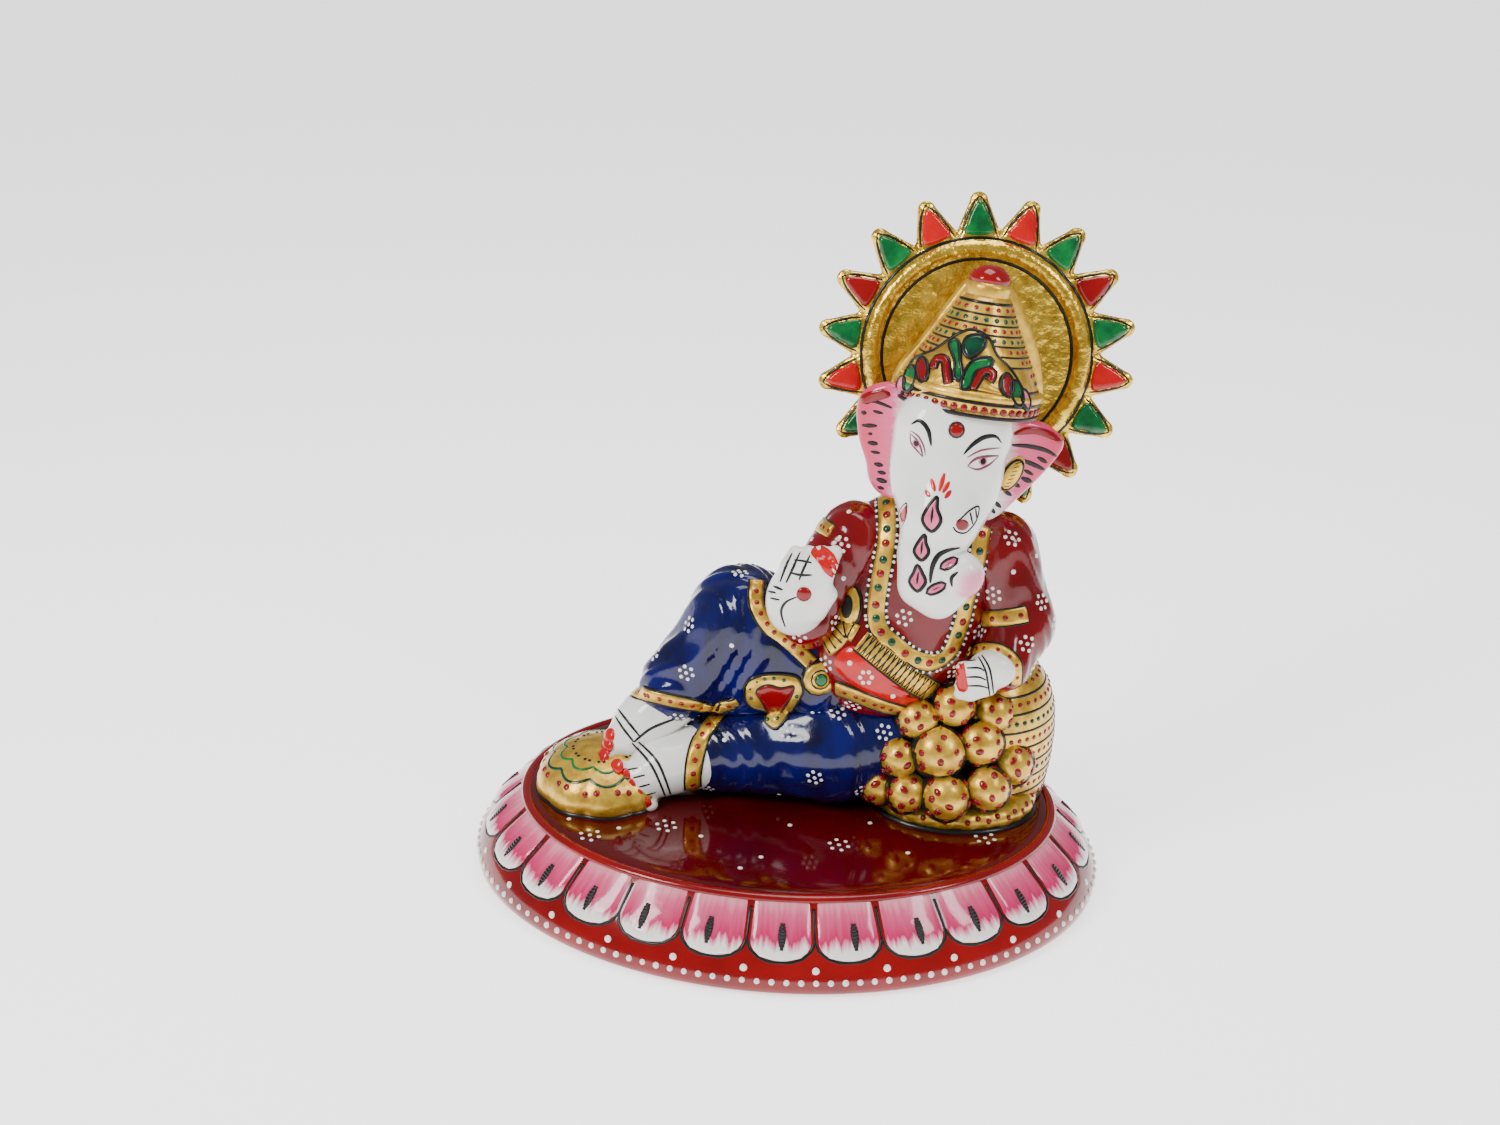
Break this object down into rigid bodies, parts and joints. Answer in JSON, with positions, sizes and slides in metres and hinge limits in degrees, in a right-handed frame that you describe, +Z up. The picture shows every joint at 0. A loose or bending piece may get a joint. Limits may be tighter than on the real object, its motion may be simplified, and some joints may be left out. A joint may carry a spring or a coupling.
{
  "type": "ganesha idol",
  "caption": "Reclining elephant-headed deity figure with a rayed halo, cast in metal and painted in coloured enamel, on an oval lotus plinth",
  "frame": {"origin": "centre of the felt pad's underside, on the resting plane", "axes": "+Z up, +X to the viewer's right along the plinth's long axis, +Y away from the viewer; the figure faces -Y"},
  "size_m": [0.18, 0.136, 0.19],
  "materials": {
    "plinth_enamel": "gloss enamel: maroon deck, pink and white lotus petals, crimson foot",
    "gold_enamel": "lacquered gold leaf paint with red, green and black enamel details",
    "blue_enamel": "gloss navy enamel with white dotted flowers",
    "red_enamel": "gloss deep red enamel with white dotted flowers",
    "white_enamel": "gloss white enamel with black and red brush lines",
    "pink_enamel": "gloss pink enamel with black brush lines",
    "screw_steel": "zinc plated steel",
    "board": "hardboard cover plate",
    "felt": "glued felt"
  },
  "bodies": {
    "root": {"plinth": "plinth_enamel", "base_cover": "board", "felt_pad": "felt", "plinth_screws": "screw_steel", "plinth_washers": "screw_steel", "foot_cushion": "gold_enamel", "left_leg": "blue_enamel", "bolster": "gold_enamel", "sweet_dish": "gold_enamel", "sweet_heap": "gold_enamel", "right_leg": "blue_enamel", "left_foot": "white_enamel", "right_foot": "white_enamel", "torso": "red_enamel", "left_arm": "red_enamel", "left_hand": "white_enamel", "right_arm": "red_enamel", "right_hand": "white_enamel", "head": "white_enamel", "right_ear": "pink_enamel", "left_ear": "pink_enamel", "right_earring": "gold_enamel", "left_earring": "gold_enamel", "crown": "gold_enamel", "crown_finial": "gold_enamel", "halo": "gold_enamel", "halo_screw": "screw_steel"}
  },
  "joints": []
}
